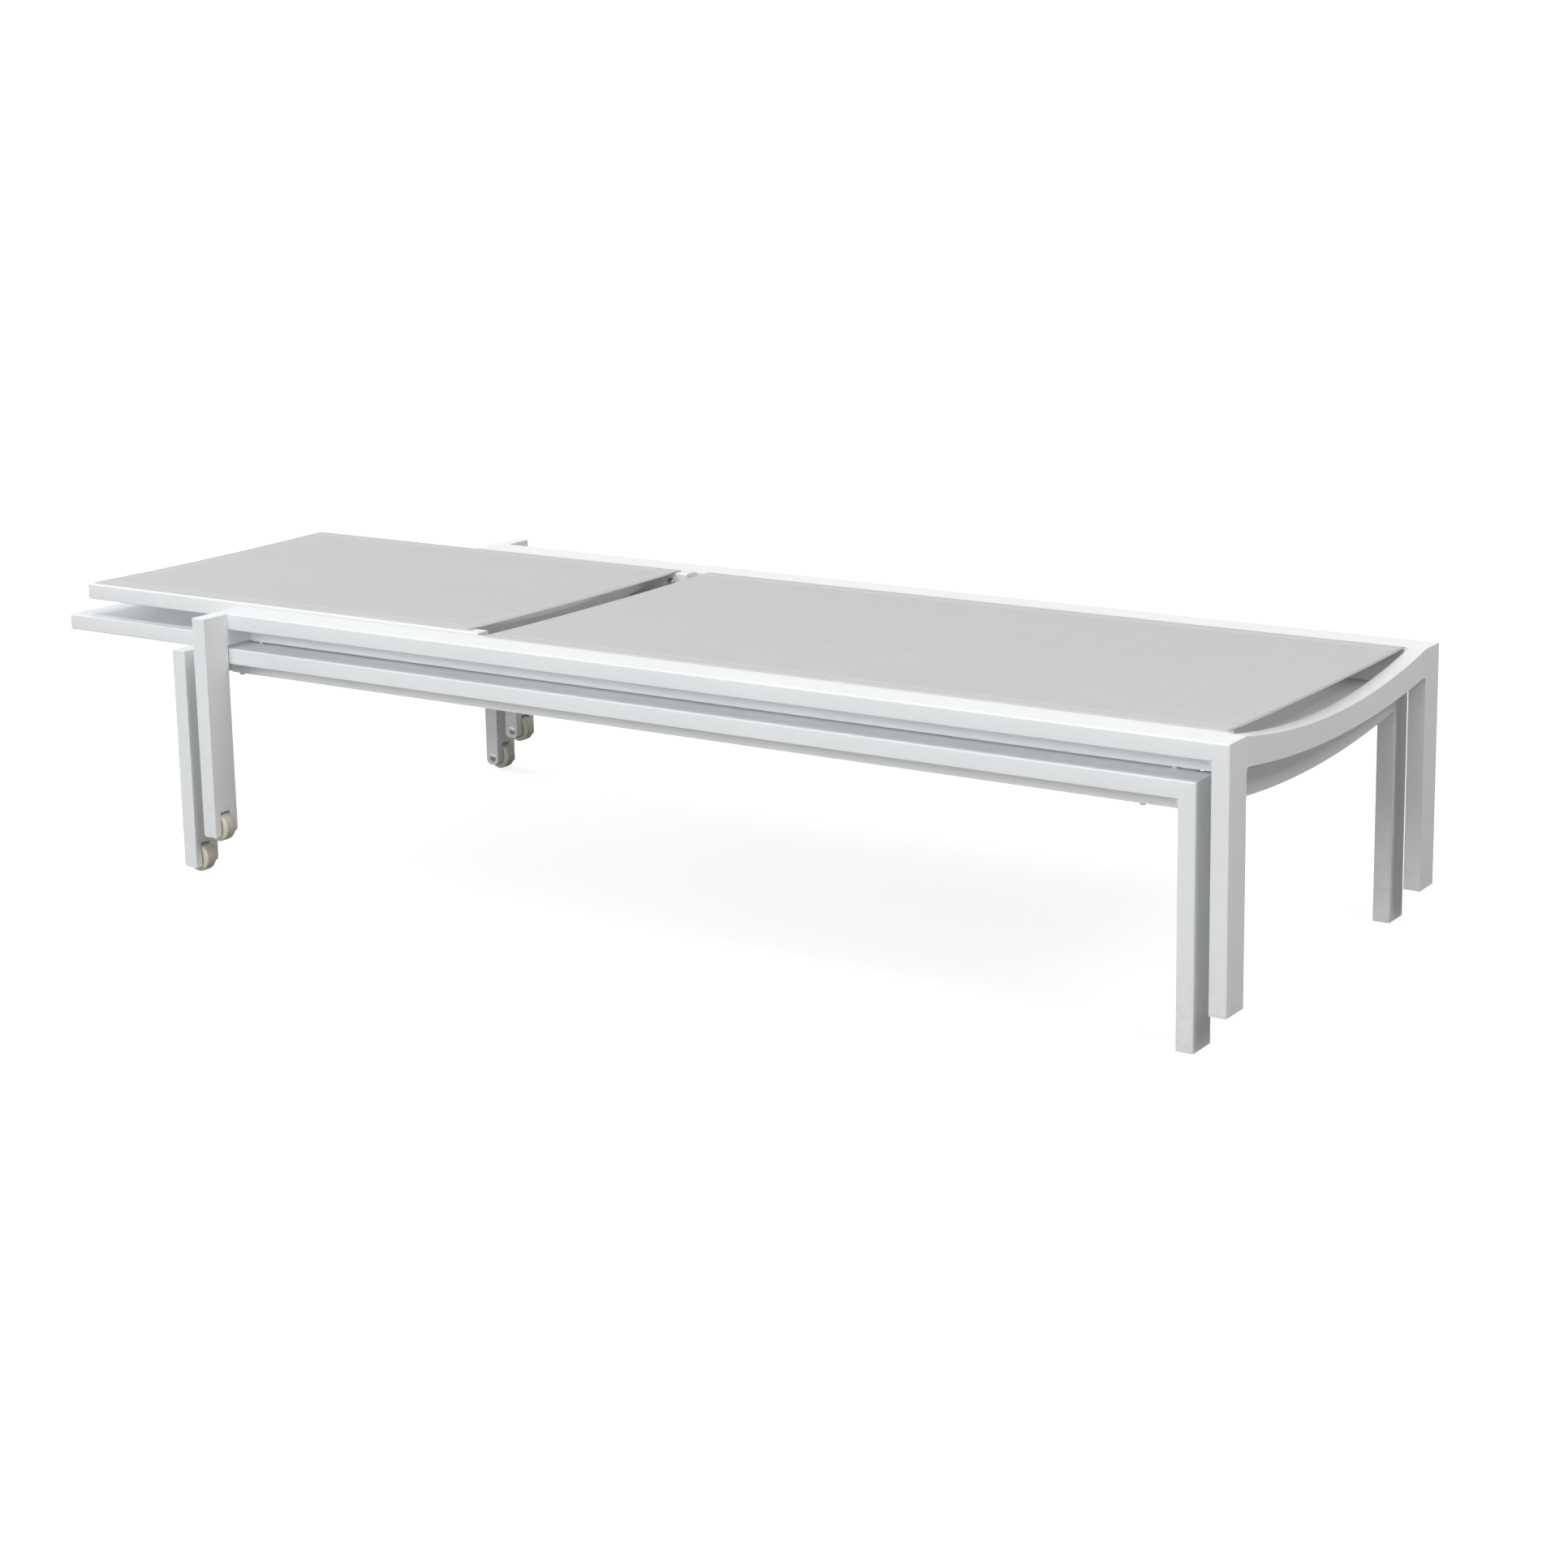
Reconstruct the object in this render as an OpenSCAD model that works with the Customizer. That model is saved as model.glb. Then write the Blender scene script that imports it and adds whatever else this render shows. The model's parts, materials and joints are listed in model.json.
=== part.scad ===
// Two identical stackable sun loungers, one nested on the other.
// Each lounger: aluminium tube frame, foot legs, wheel legs at the head end,
// a reclining backrest on a toothed rack, and stretched sling fabric.
// Units are millimetres, +Z up, +X towards the foot end, -Y is the near side.
// The origin is the middle of the stack's footprint, on the ground.

/* [Overall] */
// Height of the side rail tops above the ground
rail_top = 353; // [345:1:375]
// Distance from the head face of the wheel legs to the foot face
frame_len = 1700; // [1650:1:1760]
// Half of the width over the side rails
frame_half = 344.5; // [334:0.5:352]
// How far the upper lounger sits towards the foot end
stack_shift = 45; // [42:1:60]
// How much higher the upper lounger sits
stack_pitch = 54; // [54:1:58]

/* [Tubes] */
// Width of the side rail tube and of the foot leg tube
rail_w = 50; // [46:1:54]
// Height of the side rail tube and depth of the foot leg tube
rail_h = 25; // [24:1:26]
// Wall of the rail and leg tubes
wall = 2; // [1.6:0.1:2.4]
// Outer edge radius of the tubes
edge_r = 2.5; // [1.5:0.1:3]
// Thickness of the deep inner rail that holds the seat sling
track_t = 14.5; // [14:0.5:16]
// Depth of the inner rail
track_h = 51; // [50.5:0.5:51]
// Radius of the inside corner under the side rail
corner_r = 7; // [4:1:10]

/* [Foot end] */
// Sag of the top edge of the curved foot rail
foot_sag = 28; // [16:1:34]
// Depth of the curved foot rail at its ends
foot_depth_end = 39.5; // [36:0.5:42]
// Depth of the curved foot rail at its middle
foot_depth_mid = 32.5; // [28:0.5:40]
// Height of the plastic foot under each foot leg
foot_cap_h = 4; // [3:0.5:6]

/* [Wheel legs] */
// Gap between the side rail and the wheel leg, bridged by the weld boss
leg_gap = 1.8; // [1.8:0.1:4]
// Half of the overall width at the wheel leg tops
leg_top_half = 395; // [390:1:398]
// Half of the overall width at the wheel leg bottoms
leg_foot_half = 394; // [385:1:396]
// Wheel diameter
wheel_d = 44; // [40:1:44]
// Wheel width
wheel_w = 20; // [14:0.5:20.5]
// Distance of the axle from the head face of the wheel leg
axle_x = 14; // [12:0.5:19]
// Height of the seam between wheel fork and leg tube
fork_top = 50; // [49:1:56]
// Ground clearance of the fork cheeks
fork_bottom = 9; // [7:0.5:12]

/* [Backrest] */
// Overhang of the backrest past the wheel legs
back_over = 345; // [300:1:360]
// Half of the backrest width
back_half = 278; // [276:0.5:278]
// Width and height of the backrest tube
back_tube = 25; // [24:0.5:25]
// How much higher the backrest rails stand than the side rails
back_rise = 2; // [1:0.5:2]
// Hinge axis, measured from the head face of the wheel legs
hinge_x = 431; // [425:1:440]
// Hinge axis below the side rail top
hinge_drop = 13.5; // [13.5:0.1:14]
// Length of backrest tube beyond the hinge axis
back_tail = 32; // [28:1:34]
// Sag of the curved cross tubes
tube_sag = 22; // [14:1:22]
// Sag of the backrest's cross tube beside the hinge
spreader_sag = 24; // [20:1:28]

/* [Prop] */
// Distance from the hinge axis to the prop pivot
prop_pivot = 190; // [180:1:192]
// Length of the prop arms
prop_len = 200.5; // [196:0.5:202]
// Prop pivot below the hinge axis
prop_drop = 16.5; // [16.3:0.1:17]
// Radius of the prop foot bar
bar_r = 5; // [4.5:0.1:5]
// Steepest backrest angle
recline = 65; // [55:1:65]

/* [Sling] */
// Thickness of the sling fabric
sling_t = 1.2; // [1:0.1:1.2]
// Head edge of the seat sling
seat_x0 = 483; // [480:1:490]
// Foot edge of the seat sling
seat_x1 = 1672; // [1600:1:1672]
// Hinge end edge of the backrest sling
back_x1 = 440; // [436:1:444]

/* [Hidden] */

H = rail_top;
F = frame_len;
rail_in = frame_half - rail_w;              // inner face of the side rails
track_in = rail_in - track_t;               // inner face of the deep inner rails
leg_in = frame_half + leg_gap;              // inner face of the wheel legs
back_in = back_half - back_tube;            // inner face of the backrest rails
back_top = H + back_rise;
hinge_z = H - hinge_drop;
pivot_x = hinge_x - prop_pivot;
pivot_z = hinge_z - prop_drop;
tail_x = hinge_x + back_tail;
origin_x = (F + stack_shift - back_over) / 2;
axle_z = wheel_d / 2;
wheel_y = 371;
keder_y = 285.5;                            // centre line of the seat sling groove
back_keder_y = 268.5;                       // centre line of the backrest sling groove
keder_drop = 4.8;
plug = 12;

white = [0.93, 0.94, 0.95];
pale = [0.90, 0.91, 0.92];
sling_grey = [0.78, 0.78, 0.79];
sling_white = [0.93, 0.94, 0.96];
nylon = [0.84, 0.83, 0.77];
steel = [0.70, 0.71, 0.72];
dark = [0.35, 0.35, 0.36];

// ---- helpers ----------------------------------------------------------

// place one lounger in the stack
module lower() { translate([-origin_x, 0, 0]) children(); }
module upper() { translate([stack_shift - origin_x, 0, stack_pitch]) children(); }

// a profile drawn in Y and Z, run along X from x0 to x1
module along_x(x0, x1) { translate([x0, 0, 0]) rotate([90, 0, 90]) linear_extrude(x1 - x0) children(); }
// a profile drawn in X and Z, run along Y from y0 to y1
module along_y(y0, y1) { translate([0, y1, 0]) rotate([90, 0, 0]) linear_extrude(y1 - y0) children(); }
// a round bar along Y
module bar_y(x, z, r, y0, y1) { translate([x, y1, z]) rotate([90, 0, 0]) cylinder(r = r, h = y1 - y0, $fn = 48); }
module near() { mirror([0, 1, 0]) children(); }
module both() { children(); mirror([0, 1, 0]) children(); }
module box2(x0, y0, x1, y1) { translate([x0, y0]) square([x1 - x0, y1 - y0]); }

module rrect(w, h, r) {
  square([w - 2 * r, h], center = true);
  square([w, h - 2 * r], center = true);
  for (sx = [-1, 1], sy = [-1, 1]) translate([sx * (w / 2 - r), sy * (h / 2 - r)]) circle(r, $fn = 32);
}

// rectangle with only its two corners at +x rounded
module half_round(w, h, r) {
  translate([-w / 2, -h / 2]) square([w - r, h]);
  translate([-w / 2, -h / 2 + r]) square([w, h - 2 * r]);
  for (sy = [-1, 1]) translate([w / 2 - r, sy * (h / 2 - r)]) circle(r, $fn = 32);
}

// low domed bolt head on the face y = y0, rising towards smaller y
module dome(x, z, y0, r, h) {
  R = (r * r + h * h) / (2 * h);
  translate([x, y0, z]) rotate([90, 0, 0]) rotate_extrude($fn = 48)
    polygon(concat([[0, 0], [r, 0]], [for (i = [1:8]) let (a = asin(r / R) * (1 - i / 8)) [R * sin(a), R * cos(a) - R + h]]));
}

// radius of an arc through three points: half chord and sag
function arc_r(half, sag) = (half * half + sag * sag) / (2 * sag);

// curved bar in Y and Z: top edge sags by sag_t between +-half, bottom edge by sag_b
module arc_bar(half, z_top, sag_t, z_bot, sag_b) {
  rt = arc_r(half, sag_t);
  rb = arc_r(half, sag_b);
  difference() {
    intersection() {
      box2(-half, z_bot - sag_b - 10, half, z_top);
      translate([0, z_bot - sag_b + rb]) circle(rb, $fn = 720);
    }
    translate([0, z_top - sag_t + rt]) circle(rt, $fn = 720);
  }
}

// hollow curved tube between x0 and x1, open where it meets the side tubes
module arc_tube(x0, x1, half, z_top, z_bot, sag, t) {
  difference() {
    along_x(x0, x1) arc_bar(half, z_top, sag, z_bot, sag);
    along_x(x0 + t, x1 - t) arc_bar(half, z_top - t, sag, z_bot + t, sag);
  }
}

// sling groove: round channel wall, to be added inside a tube profile
module keder_wall(y, z) { translate([y, z - keder_drop]) circle(4.6, $fn = 48); }
module keder_void(y, z) {
  translate([y, z - keder_drop]) circle(3, $fn = 48);
  box2(y - 1.2, z - keder_drop, y + 1.2, z + 1);
}

// ---- frame ------------------------------------------------------------

module side_rail() {
  difference() {
    along_x(2.5, F) translate([frame_half - rail_w / 2, H - rail_h / 2]) difference() {
      half_round(rail_w, rail_h, edge_r);
      rrect(rail_w - 2 * wall, rail_h - 2 * wall, 0.8);
    }
    along_y(rail_in - 5, frame_half + 5)
      polygon([[F - rail_h - 1, H - rail_h - 1], [F + 2, H + 2], [F + 2, H - rail_h - 1]]);
  }
}

module sling_track() {
  difference() {
    union() {
      difference() {
        along_x(2.5, F - rail_h) box2(track_in, H - track_h, rail_in, H);
        along_x(1, F - rail_h - 2) box2(track_in + 2, H - track_h + 2, rail_in - 2, H - 2);
      }
      along_x(2.5, F - rail_h) keder_wall(keder_y, H);
    }
    along_x(1, F - rail_h + 1) keder_void(keder_y, H);
    // room for the head cross tube
    along_x(0, 25) box2(track_in - 1, H - track_h - 1, rail_in + 1, H - 25);
    bar_y(hinge_x, hinge_z, 4.05, track_in - 1, track_in + 3);
  }
}

module foot_leg() {
  cy = frame_half - rail_w / 2;
  difference() {
    union() {
      difference() {
        translate([F - rail_h / 2, cy, foot_cap_h]) rotate([0, 0, 90]) linear_extrude(H - foot_cap_h) half_round(rail_w, rail_h, edge_r);
        translate([F - rail_h / 2, cy, foot_cap_h - 1]) rotate([0, 0, 90]) linear_extrude(H) rrect(rail_w - 2 * wall, rail_h - 2 * wall, 0.8);
      }
      along_y(rail_in + 0.5, frame_half - 1) difference() {
        box2(F - rail_h - corner_r, H - rail_h - corner_r, F - rail_h + 1, H - rail_h);
        translate([F - rail_h - corner_r, H - rail_h - corner_r]) circle(corner_r, $fn = 48);
      }
    }
    along_y(rail_in - 5, frame_half + 5)
      polygon([[F - rail_h - 1, H - rail_h - 1], [F + 2, H + 2], [F - rail_h - 1, H + 2]]);
  }
}

module foot_cross_rail() {
  zb = H - foot_depth_end;
  sb = foot_sag + foot_depth_mid - foot_depth_end;
  difference() {
    along_x(F - rail_h, F) union() {
      arc_bar(rail_in, H, foot_sag, zb, sb);
      // rounded inside corners where the rail meets the legs
      for (s = [-1, 1]) scale([s, 1]) difference() {
        box2(rail_in - corner_r, zb - corner_r - 1, rail_in, zb + 0.5);
        translate([rail_in - corner_r, zb - corner_r - 1]) circle(corner_r, $fn = 48);
      }
    }
    along_x(F - rail_h + wall, F - wall) arc_bar(rail_in, H - wall, foot_sag, zb + wall, sb);
  }
}

module end_caps() {
  both() {
    // plastic foot under the foot leg
    translate([F - rail_h / 2, frame_half - rail_w / 2, 0]) rotate([0, 0, 90]) {
      linear_extrude(foot_cap_h) half_round(rail_w, rail_h, edge_r);
      translate([0, 0, foot_cap_h - 0.5]) linear_extrude(plug) rrect(rail_w - 2 * wall - 0.4, rail_h - 2 * wall - 0.4, 0.8);
    }
    // plate on the head end of the side rail and inner rail
    along_x(0, 2.5) box2(track_in, H - rail_h, frame_half, H);
    along_x(2, 2.5 + plug) translate([frame_half - rail_w / 2, H - rail_h / 2]) rrect(rail_w - 2 * wall - 0.4, rail_h - 2 * wall - 0.4, 0.8);
  }
}

function leg_out(z) = leg_foot_half + (leg_top_half - leg_foot_half) * (z - fork_bottom) / (H - fork_bottom);

module wheel_leg() {
  difference() {
    along_x(0, 25) polygon([
      [leg_in, fork_top], [leg_in, H - rail_h], [frame_half, H - rail_h], [frame_half, H],
      [leg_top_half, H], [leg_out(fork_top), fork_top]]);
    along_x(wall, 25 - wall) polygon([
      [leg_in + wall, fork_top - 1], [leg_in + wall, H - 3],
      [leg_out(H - 3) - wall, H - 3], [leg_out(fork_top - 1) - wall, fork_top - 1]]);
  }
}

// what a corner radius takes off the bottom of a fork cheek, between x = c and the end e
module fork_corner(c, e, r) {
  difference() {
    box2(min(c, e), fork_bottom - 1, max(c, e), fork_bottom + r);
    translate([c, fork_bottom + r]) circle(r, $fn = 48);
  }
}

module wheel_fork() {
  difference() {
    union() {
      along_x(0, 25) polygon([[leg_in, fork_bottom], [leg_in, fork_top], [leg_out(fork_top), fork_top], [leg_out(fork_bottom), fork_bottom]]);
      along_x(wall + 0.3, 25 - wall - 0.3) box2(leg_in + wall + 0.3, fork_top - 1, leg_out(fork_top) - wall - 1, fork_top + plug);
    }
    // slot for the wheel, flat above it
    translate([-1, wheel_y - wheel_w / 2 - 1, 0]) cube([27, wheel_w + 2, axle_z + wheel_d / 2 + 2.8]);
    // rounded bottom corners of the inner cheek, and the head corner of the outer one
    along_y(leg_in - 1, wheel_y) { fork_corner(9, -1, 9); fork_corner(16, 26, 9); }
    along_y(wheel_y, leg_top_half + 1) fork_corner(5, -1, 5);
    bar_y(axle_x, axle_z, 4.05, leg_in - 1, 388.5);
  }
}

module wheel_axle() {
  bar_y(axle_x, axle_z, 4, leg_in - 0.5, 388);
  dome(axle_x, axle_z, leg_in, 7, 1.3);
}

module head_cross_tube() {
  along_y(-leg_in, leg_in) difference() {
    box2(0, H - 49, 25, H - 25);
    box2(wall, H - 49 + wall, 25 - wall, H - 25 - wall);
  }
}

module seat_spreaders() {
  for (x = [500, 1085]) arc_tube(x, x + 20, track_in, H - 6, H - 26, tube_sag, 1.8);
}

// path of the prop foot bar as the backrest is raised by a
function bar_x(a) = hinge_x - (prop_pivot + prop_len) * cos(a) - prop_drop * sin(a);
function bar_z(a) = hinge_z - (prop_len - prop_pivot) * sin(a) - prop_drop * cos(a);
stops = [20, 35, 50, recline];

module prop_rack() {
  difference() {
    along_y(track_in - 13, track_in) polygon(concat(
      [[262, H - 49.5], [26, H - 49.5], [26, bar_z(15) - bar_r - 0.6]],
      [for (a = [15:5:recline]) [bar_x(a), bar_z(a) - bar_r - 0.6]],
      [[262, bar_z(recline) - bar_r - 0.6]]));
    for (a = stops) bar_y(bar_x(a), bar_z(a) - 3.8, bar_r + 0.3, track_in - 14, track_in + 1);
  }
}

module bumper_pads() {
  both() {
    for (x = [43, 1600]) translate([x, 290.2, H - track_h - 2.9]) cylinder(r = 4, h = 2.9, $fn = 48);
    translate([12.5, 265.5, H - 25]) cylinder(r = 6, h = back_rise + 25 - back_tube - 0.3, $fn = 48);
  }
}

module seat_sling() {
  translate([seat_x0, -283.5, H + 0.2]) cube([seat_x1 - seat_x0, 567, sling_t]);
}

module hinge_washers() {
  both() difference() {
    bar_y(hinge_x, hinge_z, 9, back_half + 0.2, track_in - 0.2);
    bar_y(hinge_x, hinge_z, 4.1, back_half - 1, track_in + 1);
  }
}

module hinge_nuts() {
  both() difference() {
    along_y(track_in + 2, track_in + 6) box2(hinge_x - 8, hinge_z - 10.5, hinge_x + 8, hinge_z + 3.5 + 0.3);
    bar_y(hinge_x, hinge_z, 4.05, track_in, track_in + 8);
  }
}

// ---- backrest ---------------------------------------------------------

module backrest_rail() {
  c = back_half - back_tube / 2;
  difference() {
    along_x(3 - back_over, tail_x - 3) difference() {
      union() {
        difference() {
          translate([c, back_top - back_tube / 2]) rrect(back_tube, back_tube, edge_r);
          translate([c, back_top - back_tube / 2]) rrect(back_tube - 2 * wall, back_tube - 2 * wall, 0.8);
        }
        keder_wall(back_keder_y, back_top);
      }
      keder_void(back_keder_y, back_top);
    }
    bar_y(hinge_x, hinge_z, 4.05, back_in - 1, back_half + 1);
  }
}

module backrest_head_tube() { arc_tube(3 - back_over, 23 - back_over, back_in, back_top - 1, back_top - 21, tube_sag, 1.8); }
module backrest_spreader() {
  difference() {
    along_x(361, 385) arc_bar(back_in, back_top - 1.5, spreader_sag, back_top - back_tube, spreader_sag - 4);
    along_x(362.8, 383.2) arc_bar(back_in, back_top - 3.3, spreader_sag, back_top - back_tube + 1.8, spreader_sag - 4);
  }
}

module backrest_caps() {
  c = back_half - back_tube / 2;
  both() {
    for (e = [[-back_over, 3 - back_over, 2 - back_over, 3 - back_over + plug], [tail_x - 3, tail_x, tail_x - 3 - plug, tail_x - 2]]) {
      along_x(e[0], e[1]) translate([c, back_top - back_tube / 2]) rrect(back_tube, back_tube, edge_r);
      along_x(e[2], e[3]) box2(back_in + 3, back_top - back_tube + 2.5, back_half - 3, back_top - 11);
    }
  }
}

module backrest_sling() {
  translate([7 - back_over, -266, back_top + 0.2]) cube([back_x1 - 7 + back_over, 532, sling_t]);
}

module prop_lugs() {
  z0 = back_top - back_tube;
  both() difference() {
    along_y(262, 265) union() {
      box2(pivot_x - 9, pivot_z, pivot_x + 9, z0);
      translate([pivot_x, pivot_z]) circle(9, $fn = 48);
    }
    bar_y(pivot_x, pivot_z, 4.05, 260, 267);
    along_y(261, 266) box2(pivot_x - 12, z0, pivot_x + 12, z0 + 5);
  }
}

module pivot_bolts() {
  both() {
    bar_y(hinge_x, hinge_z, 4, back_in - 0.5, 288);
    dome(hinge_x, hinge_z, back_in, 7, 3.4);
    bar_y(pivot_x, pivot_z, 4, 248.2, 266);
    dome(pivot_x, pivot_z, 248.7, 6.5, 3.2);
  }
}

// ---- prop -------------------------------------------------------------

module prop_arms() {
  foot_x = pivot_x - prop_len;
  both() difference() {
    along_y(249, 261) union() {
      box2(foot_x, pivot_z - 5, pivot_x, pivot_z + 5);
      for (x = [foot_x, pivot_x]) translate([x, pivot_z]) circle(6.3, $fn = 48);
    }
    bar_y(pivot_x, pivot_z, 4.08, 248, 262);
    bar_y(foot_x, pivot_z, bar_r + 0.02, 248, 262);
  }
}

module prop_foot_bar() { bar_y(pivot_x - prop_len, pivot_z, bar_r, -track_in + 2, track_in - 2); }

// ---- wheels -----------------------------------------------------------

module wheel() {
  r = wheel_d / 2;
  w = wheel_w / 2;
  translate([axle_x, wheel_y, axle_z]) rotate([90, 0, 0]) rotate_extrude($fn = 96) polygon([
    [4.08, -w], [8.5, -w], [9.5, -w + 1.2], [14.5, -w + 1.2], [15.5, -w], [r - 3, -w], [r - 1, -w + 0.8], [r, -w + 2.6],
    [r, -6.2], [r - 1.5, -5.7], [r - 1.5, -5.1], [r, -4.6],
    [r, 4.6], [r - 1.5, 5.1], [r - 1.5, 5.7], [r, 6.2],
    [r, w - 2.6], [r - 1, w - 0.8], [r - 3, w], [15.5, w], [14.5, w - 1.2], [9.5, w - 1.2], [8.5, w], [4.08, w]]);
}

// ---- nodes ------------------------------------------------------------

module lower_side_rail_near() { color(white) lower() near() side_rail(); }
module lower_side_rail_far() { color(white) lower() side_rail(); }
module lower_sling_tracks() { color(white) lower() both() sling_track(); }
module lower_foot_leg_near() { color(white) lower() near() foot_leg(); }
module lower_foot_leg_far() { color(white) lower() foot_leg(); }
module lower_foot_cross_rail() { color(white) lower() foot_cross_rail(); }
module lower_end_caps() { color(pale) lower() end_caps(); }
module lower_wheel_leg_near() { color(white) lower() near() wheel_leg(); }
module lower_wheel_leg_far() { color(white) lower() wheel_leg(); }
module lower_wheel_forks() { color(pale) lower() both() wheel_fork(); }
module lower_wheel_axles() { color(steel) lower() both() wheel_axle(); }
module lower_head_cross_tube() { color(white) lower() head_cross_tube(); }
module lower_seat_spreaders() { color(white) lower() seat_spreaders(); }
module lower_prop_racks() { color(white) lower() both() prop_rack(); }
module lower_bumper_pads() { color(nylon) lower() bumper_pads(); }
module lower_seat_sling() { color(sling_white) lower() seat_sling(); }
module lower_hinge_washers() { color(nylon) lower() hinge_washers(); }
module lower_hinge_nuts() { color(steel) lower() hinge_nuts(); }
module lower_backrest_rail_near() { color(white) lower() near() backrest_rail(); }
module lower_backrest_rail_far() { color(white) lower() backrest_rail(); }
module lower_backrest_head_tube() { color(white) lower() backrest_head_tube(); }
module lower_backrest_spreader() { color(white) lower() backrest_spreader(); }
module lower_backrest_caps() { color(pale) lower() backrest_caps(); }
module lower_backrest_sling() { color(sling_white) lower() backrest_sling(); }
module lower_prop_lugs() { color(white) lower() prop_lugs(); }
module lower_pivot_bolts() { color(steel) lower() pivot_bolts(); }
module lower_prop_arms() { color(white) lower() prop_arms(); }
module lower_prop_foot_bar() { color(white) lower() prop_foot_bar(); }
module lower_wheel_near() { color(nylon) lower() near() wheel(); }
module lower_wheel_far() { color(nylon) lower() wheel(); }

module upper_side_rail_near() { color(white) upper() near() side_rail(); }
module upper_side_rail_far() { color(white) upper() side_rail(); }
module upper_sling_tracks() { color(white) upper() both() sling_track(); }
module upper_foot_leg_near() { color(white) upper() near() foot_leg(); }
module upper_foot_leg_far() { color(white) upper() foot_leg(); }
module upper_foot_cross_rail() { color(white) upper() foot_cross_rail(); }
module upper_end_caps() { color(pale) upper() end_caps(); }
module upper_wheel_leg_near() { color(white) upper() near() wheel_leg(); }
module upper_wheel_leg_far() { color(white) upper() wheel_leg(); }
module upper_wheel_forks() { color(pale) upper() both() wheel_fork(); }
module upper_wheel_axles() { color(steel) upper() both() wheel_axle(); }
module upper_head_cross_tube() { color(white) upper() head_cross_tube(); }
module upper_seat_spreaders() { color(white) upper() seat_spreaders(); }
module upper_prop_racks() { color(white) upper() both() prop_rack(); }
module upper_bumper_pads() { color(nylon) upper() bumper_pads(); }
module upper_seat_sling() { color(sling_grey) upper() seat_sling(); }
module upper_hinge_washers() { color(nylon) upper() hinge_washers(); }
module upper_hinge_nuts() { color(steel) upper() hinge_nuts(); }
module upper_backrest_rail_near() { color(white) upper() near() backrest_rail(); }
module upper_backrest_rail_far() { color(white) upper() backrest_rail(); }
module upper_backrest_head_tube() { color(white) upper() backrest_head_tube(); }
module upper_backrest_spreader() { color(white) upper() backrest_spreader(); }
module upper_backrest_caps() { color(pale) upper() backrest_caps(); }
module upper_backrest_sling() { color(sling_grey) upper() backrest_sling(); }
module upper_prop_lugs() { color(white) upper() prop_lugs(); }
module upper_pivot_bolts() { color(steel) upper() pivot_bolts(); }
module upper_prop_arms() { color(white) upper() prop_arms(); }
module upper_prop_foot_bar() { color(white) upper() prop_foot_bar(); }
module upper_wheel_near() { color(nylon) upper() near() wheel(); }
module upper_wheel_far() { color(nylon) upper() wheel(); }

lower_side_rail_near();
lower_side_rail_far();
lower_sling_tracks();
lower_foot_leg_near();
lower_foot_leg_far();
lower_foot_cross_rail();
lower_end_caps();
lower_wheel_leg_near();
lower_wheel_leg_far();
lower_wheel_forks();
lower_wheel_axles();
lower_head_cross_tube();
lower_seat_spreaders();
lower_prop_racks();
lower_bumper_pads();
lower_seat_sling();
lower_hinge_washers();
lower_hinge_nuts();
lower_backrest_rail_near();
lower_backrest_rail_far();
lower_backrest_head_tube();
lower_backrest_spreader();
lower_backrest_caps();
lower_backrest_sling();
lower_prop_lugs();
lower_pivot_bolts();
lower_prop_arms();
lower_prop_foot_bar();
lower_wheel_near();
lower_wheel_far();
upper_side_rail_near();
upper_side_rail_far();
upper_sling_tracks();
upper_foot_leg_near();
upper_foot_leg_far();
upper_foot_cross_rail();
upper_end_caps();
upper_wheel_leg_near();
upper_wheel_leg_far();
upper_wheel_forks();
upper_wheel_axles();
upper_head_cross_tube();
upper_seat_spreaders();
upper_prop_racks();
upper_bumper_pads();
upper_seat_sling();
upper_hinge_washers();
upper_hinge_nuts();
upper_backrest_rail_near();
upper_backrest_rail_far();
upper_backrest_head_tube();
upper_backrest_spreader();
upper_backrest_caps();
upper_backrest_sling();
upper_prop_lugs();
upper_pivot_bolts();
upper_prop_arms();
upper_prop_foot_bar();
upper_wheel_near();
upper_wheel_far();
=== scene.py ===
import json
import math

import bpy
from mathutils import Matrix, Vector


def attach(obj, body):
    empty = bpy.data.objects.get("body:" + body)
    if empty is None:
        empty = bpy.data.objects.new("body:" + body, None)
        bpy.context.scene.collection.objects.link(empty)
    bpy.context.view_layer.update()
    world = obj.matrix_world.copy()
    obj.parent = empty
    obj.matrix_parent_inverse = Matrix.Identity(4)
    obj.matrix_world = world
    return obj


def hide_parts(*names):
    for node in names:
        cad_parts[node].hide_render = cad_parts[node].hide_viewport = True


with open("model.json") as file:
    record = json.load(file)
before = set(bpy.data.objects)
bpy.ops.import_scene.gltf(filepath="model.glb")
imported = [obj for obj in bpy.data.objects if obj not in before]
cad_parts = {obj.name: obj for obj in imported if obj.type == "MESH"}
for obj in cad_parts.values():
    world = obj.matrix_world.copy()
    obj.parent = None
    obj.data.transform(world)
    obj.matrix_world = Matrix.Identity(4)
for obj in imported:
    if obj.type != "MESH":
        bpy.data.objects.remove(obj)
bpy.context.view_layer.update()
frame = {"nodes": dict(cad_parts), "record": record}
scene = bpy.context.scene
MM = 0.001

# ---------------------------------------------------------------- node helpers


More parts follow.
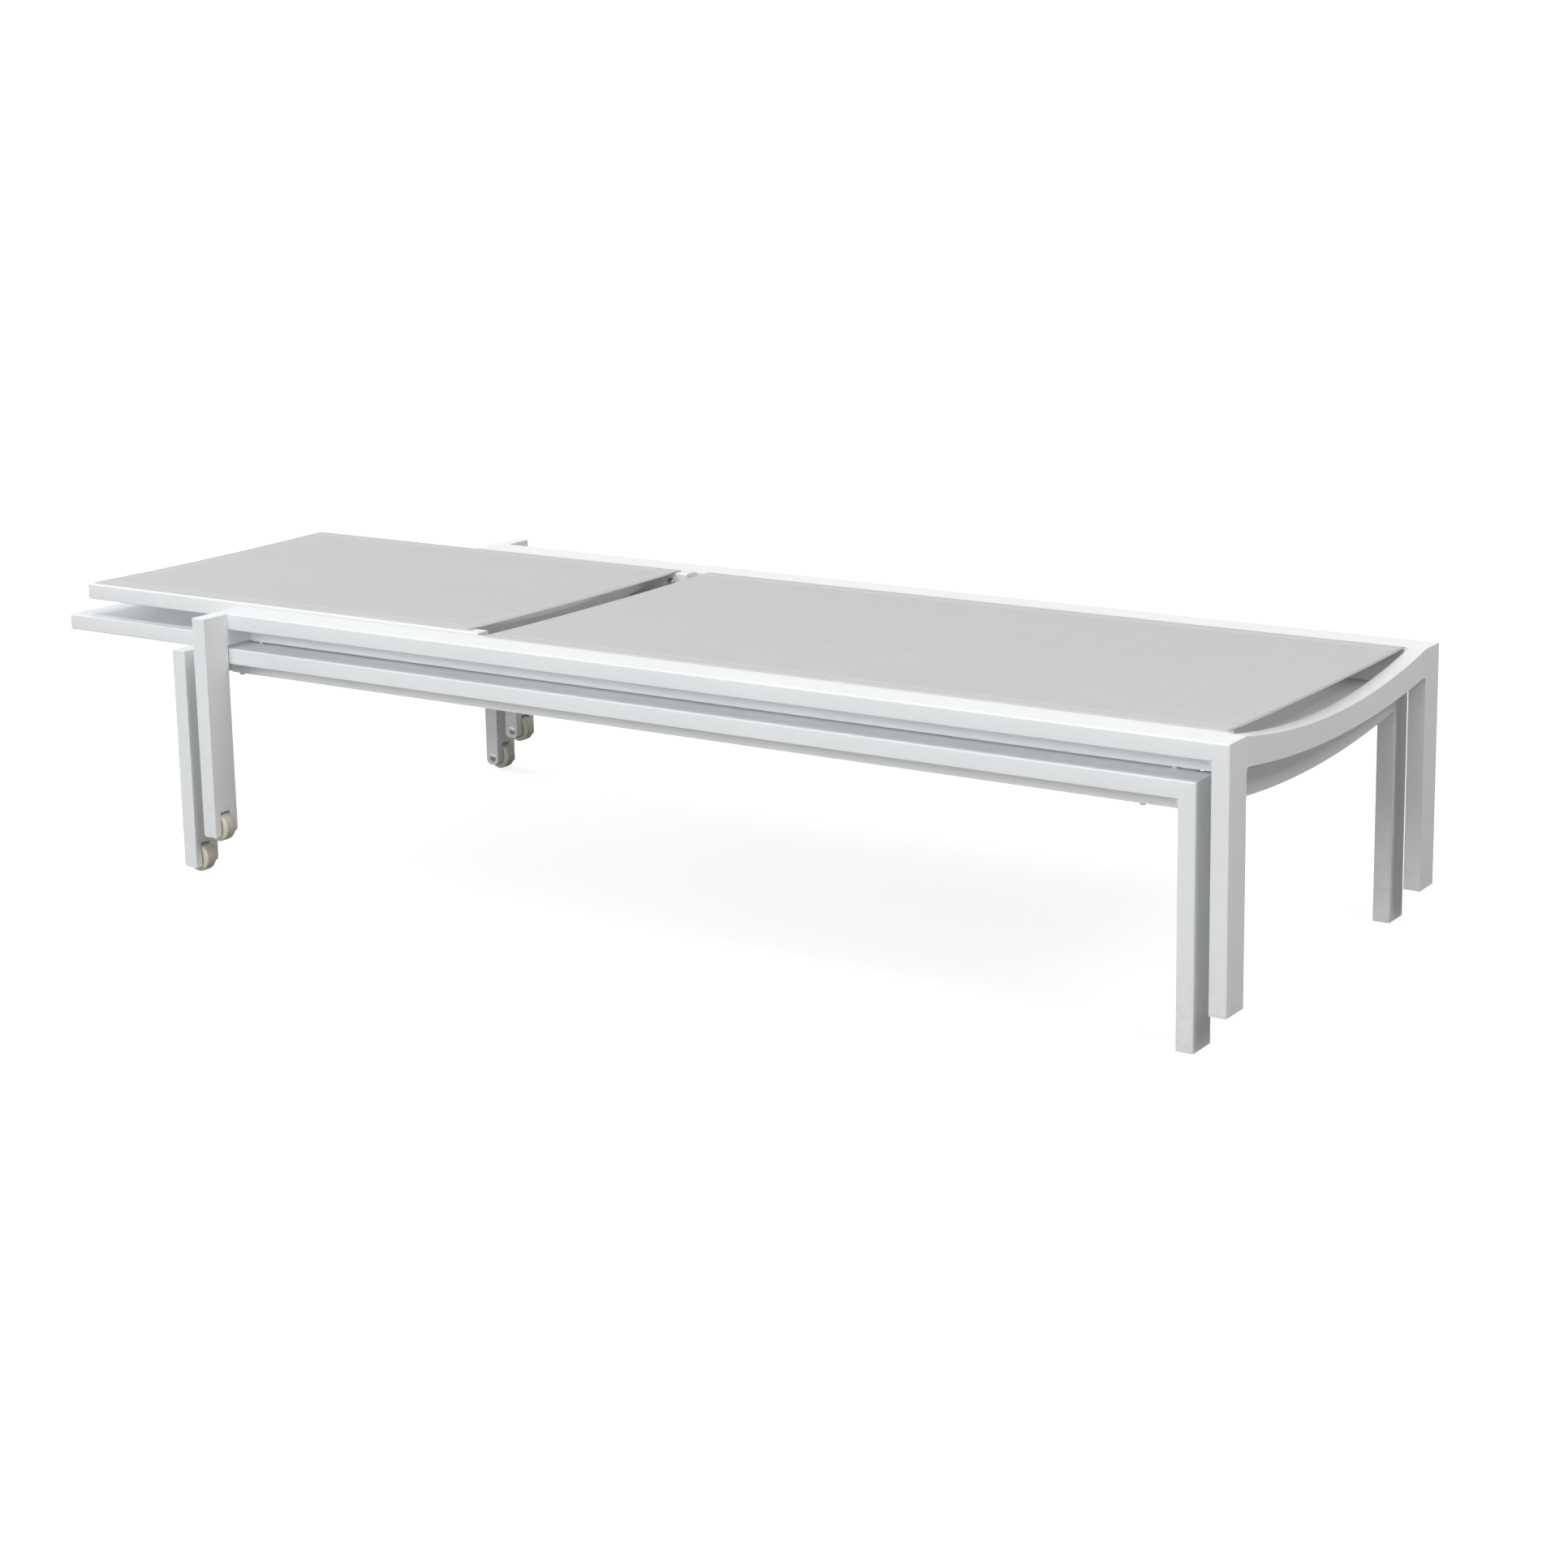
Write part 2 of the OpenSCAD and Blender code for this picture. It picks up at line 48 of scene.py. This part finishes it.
class Graph:
    """A small helper that adds nodes to a material and links them."""

    def __init__(self, name):
        self.mat = bpy.data.materials.new(name)
        self.mat.use_nodes = True
        self.tree = self.mat.node_tree
        self.bsdf = self.tree.nodes["Principled BSDF"]
        self.coord = self.node("ShaderNodeTexCoord").outputs["Object"]

    def node(self, kind, **props):
        n = self.tree.nodes.new(kind)
        for k, v in props.items():
            setattr(n, k, v)
        return n

    def put(self, value, socket):
        if isinstance(value, bpy.types.NodeSocket):
            self.tree.links.new(value, socket)
        else:
            socket.default_value = value

    def math(self, op, a, b=0.0, clamp=False):
        n = self.node("ShaderNodeMath", operation=op, use_clamp=clamp)
        self.put(a, n.inputs[0])
        if op not in ("SINE", "ABSOLUTE", "SQRT"):
            self.put(b, n.inputs[1])
        return n.outputs[0]

    def noise(self, scale, detail=2.0, rough=0.5, stretch=None):
        n = self.node("ShaderNodeTexNoise")
        vector = self.coord
        if stretch:
            m = self.node("ShaderNodeMapping")
            m.inputs["Scale"].default_value = stretch
            self.put(vector, m.inputs["Vector"])
            vector = m.outputs[0]
        self.put(vector, n.inputs["Vector"])
        n.inputs["Scale"].default_value = scale
        n.inputs["Detail"].default_value = detail
        n.inputs["Roughness"].default_value = rough
        return n.outputs[0]

    def span(self, value, lo, hi, from_lo=0.3, from_hi=0.7):
        n = self.node("ShaderNodeMapRange")
        self.put(value, n.inputs["Value"])
        for k, v in (("From Min", from_lo), ("From Max", from_hi), ("To Min", lo), ("To Max", hi)):
            n.inputs[k].default_value = v
        return n.outputs[0]

    def mix(self, factor, a, b, blend="MIX"):
        n = self.node("ShaderNodeMix", data_type="RGBA", blend_type=blend)
        self.put(factor, n.inputs[0])
        self.put(a, n.inputs[6])
        self.put(b, n.inputs[7])
        return n.outputs[2]

    def bump(self, height, distance, strength=1.0, normal=None):
        n = self.node("ShaderNodeBump")
        n.inputs["Strength"].default_value = strength
        n.inputs["Distance"].default_value = distance
        self.put(height, n.inputs["Height"])
        if normal is not None:
            self.put(normal, n.inputs["Normal"])
        return n.outputs[0]

    def xyz(self):
        n = self.node("ShaderNodeSeparateXYZ")
        self.put(self.coord, n.inputs[0])
        return n.outputs

    def finish(self, **sockets):
        for k, v in sockets.items():
            self.put(v, self.bsdf.inputs[k.replace("_", " ")])
        return self.mat


def rgb(r, g, b):
    """Linear colour from sRGB 0-255."""
    def lin(c):
        c /= 255
        return c / 12.92 if c <= 0.04045 else ((c + 0.055) / 1.055) ** 2.4
    return (lin(r), lin(g), lin(b), 1.0)


# ---------------------------------------------------------------- materials


def powder_coat(name, light, dark, rough):
    g = Graph(name)
    z = g.xyz()[2]
    tone = g.mix(g.span(g.noise(5.0, 3.0), 0.0, 1.0), dark, light)
    # a little dust in the fine texture of the coat, and patches darker towards the ground
    low = g.span(z, 1.0, 0.0, 0.0, 0.14)
    dust_and_low_darkening = g.math("MULTIPLY", g.span(g.noise(46.0, 6.0, 0.62), 0.0, 1.0, 0.46, 0.72), g.math("ADD", g.math("MULTIPLY", low, 0.30), 0.035))
    colour = g.mix(dust_and_low_darkening, tone, rgb(196, 190, 180))
    # orange peel of the baked powder, over a very slow waviness of the tube
    peel = g.math("ADD", g.math("MULTIPLY", g.noise(900.0, 2.0, 0.6), 0.6), g.math("MULTIPLY", g.noise(260.0, 2.0), 0.4))
    normal = g.bump(peel, 0.00010, 0.55)
    roughness = g.math("ADD", g.span(g.noise(38.0, 4.0), rough - 0.05, rough + 0.06), g.math("MULTIPLY", dust_and_low_darkening, 0.25))
    return g.finish(Base_Color=colour, Roughness=roughness, Normal=normal, Coat_Weight=0.12, Coat_Roughness=0.22)


def plastic(name, light, dark, rough, grain=1400.0):
    g = Graph(name)
    z = g.xyz()[2]
    tone = g.mix(g.span(g.noise(24.0, 4.0), 0.0, 1.0), dark, light)
    # faint darker streaks all over the plastic, much stronger towards the ground
    streak_mask = g.span(g.noise(120.0, 5.0, 0.7, (1.0, 0.35, 1.6)), 0.0, 0.22, 0.56, 0.74)
    low = g.span(z, 1.0, 0.12, 0.0, 0.05)
    colour = g.mix(g.math("MULTIPLY", streak_mask, low), tone, rgb(150, 144, 132))
    normal = g.bump(g.noise(grain, 3.0, 0.65), 0.00012, 0.6)
    return g.finish(Base_Color=colour, Roughness=g.span(g.noise(70.0, 3.0), rough - 0.05, rough + 0.08), Normal=normal,
                    Subsurface_Weight=0.04, Subsurface_Scale=0.003)


def plated_steel(name):
    g = Graph(name)
    streak = g.noise(520.0, 3.0, 0.6, (1.0, 0.12, 1.0))
    tone = g.mix(g.span(g.noise(180.0, 4.0), 0.0, 1.0), (0.42, 0.43, 0.44, 1), (0.62, 0.63, 0.63, 1))
    return g.finish(Base_Color=tone, Metallic=1.0, Roughness=g.span(streak, 0.26, 0.44), Normal=g.bump(streak, 0.00006, 0.7))


def rubber(name):
    g = Graph(name)
    tone = g.mix(g.span(g.noise(90.0, 4.0), 0.0, 1.0), rgb(206, 204, 196), rgb(228, 227, 221))
    return g.finish(Base_Color=tone, Roughness=g.span(g.noise(160.0), 0.62, 0.8), Normal=g.bump(g.noise(1600.0, 3.0), 0.00012, 0.7))


THREAD = 1.15 * MM


def sling_fabric(name, warp, weft, hem_tint):
    """Coated mesh weave: plain weave of round threads, with a hem band at the sides."""
    g = Graph(name)
    x, y, z = g.xyz()
    k = math.pi / THREAD
    sx, sy = g.math("SINE", g.math("MULTIPLY", x, k)), g.math("SINE", g.math("MULTIPLY", y, k))
    over = g.math("GREATER_THAN", g.math("MULTIPLY", sx, sy), 0.0)       # which set of threads is on top
    across = g.math("ABSOLUTE", sy)
    along = g.math("ABSOLUTE", sx)
    up, down = g.math("MULTIPLY", across, over), g.math("MULTIPLY", along, g.math("SUBTRACT", 1.0, over))
    height = g.math("SQRT", g.math("ADD", up, down))
    # each thread keeps its own tone, so the cloth has fine streaks both ways
    warp_tone = g.noise(1.0, 1.0, 0.5, (3.0, 420.0, 1.0))
    weft_tone = g.noise(1.0, 1.0, 0.5, (420.0, 3.0, 1.0))
    streak = g.math("ADD", g.math("MULTIPLY", warp_tone, over), g.math("MULTIPLY", weft_tone, g.math("SUBTRACT", 1.0, over)))
    base = g.mix(over, weft, warp)
    base = g.mix(g.span(streak, 0.0, 0.09, 0.35, 0.65), base, (1, 1, 1, 1))
    # painted shade: the gaps between threads are darker
    base = g.mix(g.span(height, 0.34, 0.0, 0.25, 0.75), base, (0.12, 0.12, 0.12, 1))
    # slow change of tone over the cloth, and the doubled hem band
    base = g.mix(g.span(g.noise(3.0, 3.0), 0.0, 0.04), base, (0.30, 0.30, 0.31, 1))
    band = g.node("ShaderNodeAttribute", attribute_name="hem").outputs["Fac"]
    base = g.mix(g.math("MULTIPLY", band, 0.24), base, hem_tint)
    weave = g.bump(height, 0.00022, 0.75)
    normal = g.bump(g.noise(24.0, 3.0), 0.0010, 0.16, weave)
    return g.finish(Base_Color=base, Roughness=g.span(height, 0.78, 0.56, 0.1, 0.9), Normal=normal,
                    Sheen_Weight=0.12, Sheen_Roughness=0.45, Specular_IOR_Level=0.38)


def thread_material(name, colour, dark):
    g = Graph(name)
    # painted shade in the twist grooves: the colour darkens where the twist bump is low
    twist = g.math("SINE", g.math("MULTIPLY", g.math("ADD", g.math("ADD", g.xyz()[0], g.xyz()[1]), g.xyz()[2]), 2 * math.pi / 0.0006))
    return g.finish(Base_Color=g.mix(g.span(twist, 0.0, 1.0, -1.0, 1.0), dark, colour), Roughness=g.span(g.noise(300.0), 0.5, 0.7),
                    Normal=g.bump(twist, 0.00008, 0.6), Sheen_Weight=0.2)


MATS = {
    "frame_paint": powder_coat("white_powder_coat", rgb(240, 242, 243), rgb(236, 238, 240), 0.40),
    "end_plastic": plastic("white_end_plastic", rgb(236, 238, 240), rgb(229, 231, 233), 0.48),
    "wheel_nylon": plastic("cream_wheel_nylon", rgb(220, 217, 202), rgb(200, 196, 176), 0.42, 1000.0),
    "plated_steel": plated_steel("zinc_plated_steel"),
    "pad_rubber": rubber("pale_pad_rubber"),
    "sling_grey": sling_fabric("grey_mesh_sling", rgb(202, 202, 203), rgb(192, 192, 193), rgb(210, 209, 207)),
    "sling_white": sling_fabric("white_mesh_sling", rgb(240, 243, 247), rgb(232, 236, 241), rgb(240, 239, 236)),
}
THREADS = {
    "sling_grey": thread_material("pale_grey_thread", rgb(248, 248, 246), rgb(228, 228, 226)),
    "sling_white": thread_material("white_thread", rgb(250, 250, 250), rgb(234, 234, 234)),
}
fork_plastic = plastic("white_fork_plastic", rgb(238, 240, 243), rgb(232, 235, 238), 0.44)

# ---------------------------------------------------------------- CAD nodes

slots = {s["node"]: s["material_slot"] for s in frame["record"]["subparts"]}
EDGE = {
    "wheel_axles": 0.25, "hinge_nuts": 0.3, "hinge_washers": 0.2, "pivot_bolts": 0.2, "bumper_pads": 0.4,
    "prop_racks": 0.7, "prop_lugs": 0.4, "prop_arms": 0.7, "prop_foot_bar": 0.5, "end_caps": 0.5, "backrest_caps": 0.5,
    "wheel_near": 0.25, "wheel_far": 0.25, "wheel_forks": 0.5, "wheel_leg_near": 0.6, "wheel_leg_far": 0.6, "sling_tracks": 0.35,
    "backrest_rail_near": 0.3, "backrest_rail_far": 0.3, "side_rail_near": 0.5, "side_rail_far": 0.5,
}
for name, o in frame["nodes"].items():
    key = name.split("_", 1)[1]
    mat = fork_plastic if key == "wheel_forks" else MATS[slots[name]]
    o.data.materials.clear()
    o.data.materials.append(mat)
    for p in o.data.polygons:
        p.use_smooth = True
    if "custom_normal" in o.data.attributes:
        o.data.attributes.remove(o.data.attributes["custom_normal"])
    weld = o.modifiers.new("weld", "WELD")
    weld.merge_threshold = 0.00002
    flat = o.modifiers.new("flat", "DECIMATE")
    flat.decimate_type = "DISSOLVE"
    flat.angle_limit = math.radians(0.05)
    bevel = o.modifiers.new("bevel", "BEVEL")
    bevel.width = EDGE.get(key, 0.9) * MM
    bevel.segments = 2
    bevel.limit_method = "ANGLE"
    bevel.angle_limit = math.radians(40)
    bevel.harden_normals = True
    bevel.use_clamp_overlap = True

# ---------------------------------------------------------------- slings

SHEET = 0.8 * MM      # thickness of the cloth


def add_mesh(name, verts, faces, mat, body, smooth=True):
    me = bpy.data.meshes.new(name)
    me.from_pydata(verts, [], faces)
    me.materials.append(mat)
    for p in me.polygons:
        p.use_smooth = smooth
    me.validate()
    o = bpy.data.objects.new(name, me)
    scene.collection.objects.link(o)
    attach(o, body)
    return o


def half_profile(groove, top, inner):
    """(y, z, hem) of the cloth's middle surface from the centre line over the side, into the groove, round the cord and back under."""
    pts = []
    stitch = groove - 21.5 * MM
    n = 16
    for i in range(n + 1):
        pts.append((stitch - 2.5 * MM - (stitch - 2.5 * MM) * (1 - i / n), top + 1.4 * MM, 0.0))
    for dy, dz, h in ((-1.2, -0.06, 0.0), (-0.5, -0.22, 0.0), (0.0, -0.28, 0.6), (0.5, -0.22, 1.0), (1.2, -0.06, 1.0), (2.5, 0.0, 1.0)):
        pts.append((stitch + dy * MM, top + (1.4 + dz) * MM, h))
    for i in range(1, 6):
        y = stitch + 2.5 * MM + (groove - 1.2 * MM - stitch - 2.5 * MM) * i / 6
        pts.append((y, top + 1.4 * MM, 1.0))
    cy = groove - 1.2 * MM
    for a in (90, 72, 54, 36, 18, 0):
        pts.append((cy + 1.4 * MM * math.cos(math.radians(a)), top + 1.4 * MM * math.sin(math.radians(a)), 1.0))
    ky, kz, kr = groove, top - 4.8 * MM, 2.3 * MM
    pts.append((cy + 1.4 * MM, top - 1.4 * MM, 1.0))
    for a in (78, 50, 20, -10, -40, -70, -100, -130, -160, -190, -220, -250):
        pts.append((ky + kr * math.cos(math.radians(a)), kz + kr * math.sin(math.radians(a)), 1.0))
    pts.append((cy + 0.5 * MM, top - 1.6 * MM, 1.0))
    for a in (0, 30, 60, 90):
        pts.append((cy + 0.5 * MM * math.cos(math.radians(a)), top + 0.5 * MM * math.sin(math.radians(a)), 1.0))
    for d in (6, 11, 16, 20, 22, 24):
        pts.append((groove - d * MM, top + 0.5 * MM - (0.12 * MM if 19 < d < 23 else 0), 1.0))
    return pts


class Sling:
    def __init__(self, name, body, node, slot, x0, x1, groove, inner, top, sag):
        self.name, self.body, self.slot = name, body, slot
        self.x0, self.x1, self.groove, self.inner, self.top, self.sag = x0, x1, groove, inner, top, sag
        self.mat = MATS[slot]
        half = half_profile(groove, top, inner)
        profile = [(-y, z, h) for y, z, h in reversed(half)][:-1] + half
        rows = max(2, round((x1 - x0) / 0.006))
        verts, faces, hem = [], [], []
        for i in range(rows + 1):
            x = x0 + (x1 - x0) * i / rows
            for y, z, h in profile:
                verts.append((x, y, z + self.dip(x, y)))
                hem.append(h)
        n = len(profile)
        for i in range(rows):
            for j in range(n - 1):
                a = i * n + j
                faces.append((a, a + n, a + n + 1, a + 1))
        self.obj = add_mesh(name, verts, faces, self.mat, body)
        att = self.obj.data.attributes.new("hem", "FLOAT", "POINT")
        att.data.foreach_set("value", hem)
        s = self.obj.modifiers.new("cloth", "SOLIDIFY")
        s.thickness, s.offset, s.use_even_offset = SHEET, 0.0, True
        self.width = sum(math.dist(a[:2], b[:2]) for a, b in zip(profile, profile[1:]))
        hems = [self.end_hem("head", x0, 1), self.end_hem("foot", x1, -1)]
        cords, stitches = self.cords(), self.stitches()
        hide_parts(node)

    def dip(self, x, y):
        """How far the stretched cloth hangs below its edges, with faint tension ripples off the stitching."""
        u = min(1.0, abs(y) / self.inner)
        if u >= 1.0:
            return 0.0
        t = (x - self.x0) / (self.x1 - self.x0)
        belly = self.sag * (0.72 + 0.28 * math.sin(math.pi * t)) * (1 - u ** 2.4)
        end = min(t, 1 - t) * (self.x1 - self.x0)
        belly += 0.9 * MM * math.exp(-end / 0.05) * (1 - u ** 2)
        edge = math.exp(-abs(self.inner - abs(y) - 0.018) / 0.02)
        ripple = 0.11 * MM * edge * (math.sin(x * 151.0) + 0.6 * math.sin(x * 247.0 + 1.3) + 0.5 * math.sin(x * 91.0 + 0.4))
        slow = 0.35 * MM * (1 - u * u) * math.sin(x * 9.1 + 0.7) * math.cos(y * 7.3 + 0.2)
        return -belly + (ripple + slow) * (1 - u ** 8)

    def end_hem(self, which, x, d):
        """The end of the cloth folded under and stitched down, between the side hems."""
        r = 0.45 * MM
        line = [(0.0, 0.0)] + [(-r * math.sin(math.radians(a)), -r + r * math.cos(math.radians(a))) for a in (45, 90, 135, 180)] + \
               [(s * MM, -2 * r) for s in (4, 8, 12, 16, 19, 21, 23)]
        ys = [i / 40 * 2 - 1 for i in range(41)]
        reach = self.groove - 26 * MM
        verts, faces = [], []
        for s, dz in line:
            for u in ys:
                px = x + d * s
                y = u * reach
                verts.append((px, y, self.top + 1.4 * MM + self.dip(px, y) + dz))
        n = len(ys)
        for i in range(len(line) - 1):
            for j in range(n - 1):
                a = i * n + j
                faces.append((a, a + 1, a + n + 1, a + n))
        o = add_mesh(f"{self.name}_hem_{which}", verts, faces, self.mat, self.body)
        att = o.data.attributes.new("hem", "FLOAT", "POINT")
        att.data.foreach_set("value", [1.0] * len(verts))
        s = o.modifiers.new("cloth", "SOLIDIFY")
        s.thickness, s.offset = SHEET * 0.96, 0.0
        return o

    def cords(self):
        """The round cords that hold the cloth's edges in the rail grooves."""
        verts, faces = [], []
        r, n = 1.8 * MM, 14
        for side in (-1, 1):
            rings = [(self.x0 - 0.6 * MM, 0.0), (self.x0 - 0.5 * MM, r * 0.8), (self.x0 - 0.1 * MM, r)]
            steps = 24
            rings += [(self.x0 + (self.x1 - self.x0) * i / steps, r) for i in range(1, steps)]
            rings += [(self.x1 + 0.1 * MM, r), (self.x1 + 0.5 * MM, r * 0.8), (self.x1 + 0.6 * MM, 0.0)]
            start = len(verts)
            for k, (x, rr) in enumerate(rings):
                if rr == 0.0:
                    verts.append((x, side * self.groove, self.top - 4.8 * MM))
                    continue
                for j in range(n):
                    a = 2 * math.pi * j / n
                    verts.append((x, side * self.groove + rr * math.cos(a), self.top - 4.8 * MM + rr * math.sin(a)))
            m = len(rings) - 2
            first, last = start, len(verts) - 1
            for j in range(n):
                jj = (j + 1) % n
                faces.append((first, start + 1 + jj, start + 1 + j))
                for k in range(m - 1):
                    a, b = start + 1 + k * n, start + 1 + (k + 1) * n
                    faces.append((a + j, a + jj, b + jj, b + j))
                e = start + 1 + (m - 1) * n
                faces.append((last, e + j, e + jj))
        return add_mesh(f"{self.name}_cords", verts, faces, MATS["end_plastic"], self.body)

    def stitches(self):
        """Lock stitches along the side hems and across both end hems, on the top."""
        verts, faces = [], []
        rings = ((-1.75, 0.10), (-1.2, 0.30), (0.0, 0.36), (1.2, 0.30), (1.75, 0.10))
        seg = 6

        def stitch(x, y, z, along_x):
            s = len(verts)
            for u, r in rings:
                lift = 0.10 - 0.10 * (u / 1.75) ** 2
                for j in range(seg):
                    a = 2 * math.pi * j / seg
                    across, up = r * math.cos(a) * MM, (r * 0.75 * math.sin(a) + lift) * MM
                    verts.append((x + u * MM, y + across, z + up) if along_x else (x + across, y + u * MM, z + up))
            for k in range(len(rings) - 1):
                for j in range(seg):
                    a, b = s + k * seg, s + (k + 1) * seg
                    q = (a + j, a + (j + 1) % seg, b + (j + 1) % seg, b + j)
                    faces.append(q if along_x else q[::-1])
            faces.append(tuple(s + j for j in range(seg))[:: (-1 if along_x else 1)])
            e = s + (len(rings) - 1) * seg
            faces.append(tuple(e + j for j in range(seg))[:: (1 if along_x else -1)])

        pitch = 4.4 * MM
        line_y = self.groove - 21.5 * MM
        rise = 1.4 * MM + SHEET / 2 - 0.05 * MM
        n = int((self.x1 - self.x0 - 6 * MM) / pitch)
        for side in (-1, 1):
            for i in range(n + 1):
                x = self.x0 + 3 * MM + i * pitch
                y = side * line_y
                stitch(x, y, self.top + self.dip(x, y) + rise - 0.28 * MM, True)
        m = int((2 * line_y - 8 * MM) / pitch)
        for x in (self.x0 + 20 * MM, self.x1 - 20 * MM):
            for i in range(m + 1):
                y = -line_y + 4 * MM + i * pitch
                stitch(x, y, self.top + self.dip(x, y) + rise, False)
        return add_mesh(f"{self.name}_stitches", verts, faces, THREADS[self.slot], self.body)


def place(which):
    """Shift of that lounger from its own drawing to the stack, in metres."""
    return (-0.700, 0.0) if which == "lower" else (-0.655, 0.054)


RAIL_TOP = 353 * MM
for which, slot in (("lower", "sling_white"), ("upper", "sling_grey")):
    dx, dz = place(which)
    Sling(f"{which}_seat_cloth", f"{which}_frame", f"{which}_seat_sling", slot,
          0.483 + dx, 1.672 + dx, 0.2855, 0.280, RAIL_TOP + dz, 2.6 * MM)
    Sling(f"{which}_backrest_cloth", f"{which}_backrest", f"{which}_backrest_sling", slot,
          -0.338 + dx, 0.440 + dx, 0.2685, 0.253, RAIL_TOP + dz + 2 * MM, 2.0 * MM)

# ---------------------------------------------------------------- floor


def ring_mesh(name, profile, mat):
    n, verts, faces = 96, [], []
    for r, z in profile:
        verts += [(r * math.cos(2 * math.pi * j / n), r * math.sin(2 * math.pi * j / n), z) for j in range(n)]
    for i in range(len(profile) - 1):
        for j in range(n):
            a, b = i * n, (i + 1) * n
            faces.append((a + j, b + j, b + (j + 1) % n, a + (j + 1) % n))
    me = bpy.data.meshes.new(name)
    me.from_pydata(verts, [], faces)
    me.materials.append(mat)
    for p in me.polygons:
        p.use_smooth = True
    o = bpy.data.objects.new(name, me)
    o.location = (0, 0, -0.0002)
    scene.collection.objects.link(o)
    return o


def backdrop():
    """A pale studio floor, lit from within, and a white wall far behind it that casts no light."""
    g = Graph("pale_floor")
    tone = g.mix(g.span(g.noise(1.2, 3.0), 0.0, 1.0), (0.34, 0.34, 0.34, 1), (0.37, 0.37, 0.37, 1))
    mat = g.finish(Base_Color=tone, Roughness=0.85, Normal=g.bump(g.noise(90.0, 3.0), 0.0005, 0.05),
                   Emission_Color=(1.0, 1.0, 1.0, 1.0), Emission_Strength=0.78)
    rings = [(0.0001, 0.0), (1.0, 0.0), (2.0, 0.0), (3.0, 0.0), (4.0, 0.0)]
    o = ring_mesh("floor", rings, mat)
    o.visible_diffuse = o.visible_glossy = o.visible_shadow = False
    # the light that comes back from the ground is that of an ordinary warm floor
    g = Graph("warm_bounce")
    warm = g.finish(Base_Color=g.mix(g.noise(2.0), (0.27, 0.25, 0.235, 1), (0.31, 0.29, 0.275, 1)), Roughness=0.9)
    o = ring_mesh("floor_bounce", rings + [(7.0, 0.0), (10.0, 0.0)], warm)
    o.location.z = -0.0004
    o.visible_camera = False
    g = Graph("white_backdrop")
    wall = g.finish(Base_Color=g.mix(g.noise(1.0), (0.60, 0.60, 0.60, 1), (0.62, 0.62, 0.62, 1)), Roughness=0.9,
                    Emission_Color=(1.0, 1.0, 1.0, 1.0), Emission_Strength=1.02)
    profile = [(4.0, 0.0), (7.0, 0.0), (10.0, 0.0)]
    profile += [(10 + 3 * math.sin(math.radians(a)), 3 - 3 * math.cos(math.radians(a))) for a in range(10, 91, 10)] + [(13.0, 4.2)]
    o = ring_mesh("backdrop", profile, wall)
    o.visible_diffuse = False
    o.visible_shadow = False


backdrop()

# ---------------------------------------------------------------- light and camera

world = bpy.data.worlds.new("studio")
scene.world = world
world.use_nodes = True
nt = world.node_tree
sky = nt.nodes.new("ShaderNodeTexCoord")
tilt = nt.nodes.new("ShaderNodeVectorMath")
tilt.operation = "DOT_PRODUCT"
tilt.inputs[1].default_value = (-0.08, -0.08, 0.26)
lift = nt.nodes.new("ShaderNodeMath")
lift.operation, lift.use_clamp = "ADD", True
lift.inputs[1].default_value = 0.20
nt.links.new(sky.outputs["Generated"], tilt.inputs[0])
nt.links.new(tilt.outputs["Value"], lift.inputs[0])
nt.links.new(lift.outputs[0], nt.nodes["Background"].inputs[1])
nt.nodes["Background"].inputs[0].default_value = (1.0, 0.99, 0.98, 1)


def softbox(name, at, aim, size, power, colour):
    lamp = bpy.data.lights.new(name, "AREA")
    lamp.shape, lamp.size, lamp.size_y = "RECTANGLE", size[0], size[1]
    lamp.energy, lamp.color = power, colour
    o = bpy.data.objects.new(name, lamp)
    scene.collection.objects.link(o)
    o.location = at
    o.rotation_mode = "QUATERNION"
    o.rotation_quaternion = (Vector(aim) - Vector(at)).to_track_quat("-Z", "Y")
    return o


softbox("key", (-0.1, -5.2, 2.1), (0, 0, 0.3), (3.6, 1.8), 138, (0.93, 0.975, 1.0))
softbox("top", (-0.9, 0.3, 5.6), (-0.1, 0, 0.3), (4.0, 4.0), 96, (1.0, 1.0, 0.99))
softbox("window", (-4.6, 0.3, 1.4), (-0.8, 0, 0.35), (2.6, 1.8), 105, (1.0, 1.0, 1.0))
softbox("fill", (4.2, -0.8, 4.0), (0.8, 0, 0.3), (2.2, 2.0), 106, (1.0, 0.975, 0.95))
# daylight that passes through the open weave of the upper slings
softbox("through_seat", (0.42, 0.0, 0.392), (0.42, 0.0, 0.0), (1.12, 0.50), 0.42, (1.0, 0.98, 0.96))
softbox("through_backrest", (-0.60, 0.0, 0.394), (-0.60, 0.0, 0.0), (0.72, 0.44), 0.24, (1.0, 0.98, 0.96))

scene.view_settings.view_transform = "Standard"
scene.view_settings.look = "None"
scene.view_settings.exposure = 0.0
scene.view_settings.gamma = 1.0

FOCAL, YAW, PITCH, ROLL = 3672.204, math.radians(33.701), math.radians(-11.544), math.radians(-0.971)
at = Vector((3.257292 - 0.700, -3.589737, 1.292804))
fwd = Vector((-math.sin(YAW) * math.cos(PITCH), math.cos(YAW) * math.cos(PITCH), math.sin(PITCH)))
right = Vector((math.cos(YAW), math.sin(YAW), 0))
up = right.cross(fwd)
r2 = right * math.cos(ROLL) + up * math.sin(ROLL)
u2 = -right * math.sin(ROLL) + up * math.cos(ROLL)
cam = bpy.data.cameras.new("camera")
cam.sensor_width = 36.0
cam.lens = FOCAL / 1932 * 36.0
cam.shift_y = -200 / 1932
cam.clip_start, cam.clip_end = 0.1, 60
camera = bpy.data.objects.new("camera", cam)
scene.collection.objects.link(camera)
camera.matrix_world = Matrix(((r2.x, u2.x, -fwd.x, at.x), (r2.y, u2.y, -fwd.y, at.y), (r2.z, u2.z, -fwd.z, at.z), (0, 0, 0, 1)))
scene.camera = camera

bpy.context.view_layer.update()
